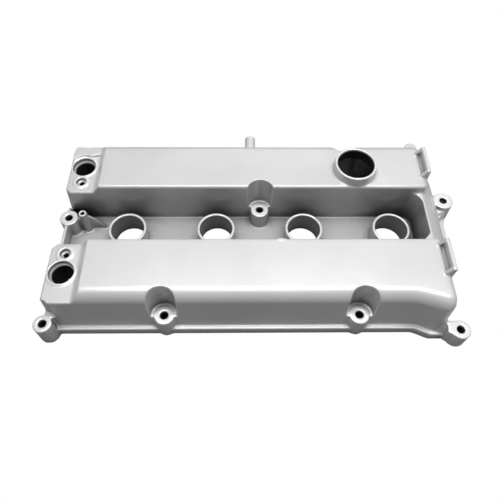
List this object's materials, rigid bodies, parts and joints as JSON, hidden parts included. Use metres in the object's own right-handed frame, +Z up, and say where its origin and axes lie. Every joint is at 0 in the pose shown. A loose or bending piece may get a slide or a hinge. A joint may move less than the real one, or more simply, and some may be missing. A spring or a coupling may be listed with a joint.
{
  "type": "engine valve cover",
  "caption": "Cast aluminium valve cover for a twin-cam inline engine: two cam humps, a valley with plug tubes, solenoid bores, filler neck and breather.",
  "frame": {"origin": "on the sealing plane, at the middle of the row of plug tubes", "axes": "+X along the engine towards the bridged end, +Y towards the rear hump with the filler neck, +Z up, away from the cylinder head"},
  "size_m": [0.4037, 0.2229, 0.0655],
  "materials": {
    "casting": "silver painted, semi-gloss, fine cast surface",
    "nipple": "silver painted steel tube",
    "sheet": "plain pressed sheet",
    "screw": "zinc plated"
  },
  "bodies": {
    "root": {"cover_casting": "casting", "breather_nipple": "nipple", "baffle_front": "sheet", "baffle_rear": "sheet", "baffle_screws": "screw"}
  },
  "joints": []
}
